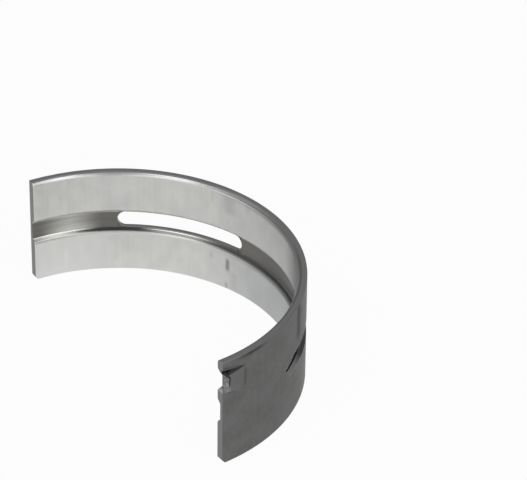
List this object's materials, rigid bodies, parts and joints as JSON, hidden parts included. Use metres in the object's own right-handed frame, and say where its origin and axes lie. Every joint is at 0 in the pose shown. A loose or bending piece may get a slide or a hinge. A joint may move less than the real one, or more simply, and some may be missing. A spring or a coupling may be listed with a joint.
{
  "type": "engine bearing shell",
  "caption": "Half-round plain bearing shell for an engine crankshaft, with an oil groove round its bore, long oil slots through the groove floor and a pressed locating lug.",
  "frame": {"origin": "on the bore axis, level with the lower end face", "axes": "+Z along the bore axis and up as the shell stands on its end face, +Y through the crown of the arc, +X to the joint face with the locating lug"},
  "size_m": [0.0856, 0.0404, 0.0265],
  "materials": {
    "bearing_metal": "satin grey, finely bored inside, with dull turned end faces and an oil-stained groove"
  },
  "bodies": {
    "root": {"bearing_shell": "bearing_metal"}
  },
  "joints": []
}
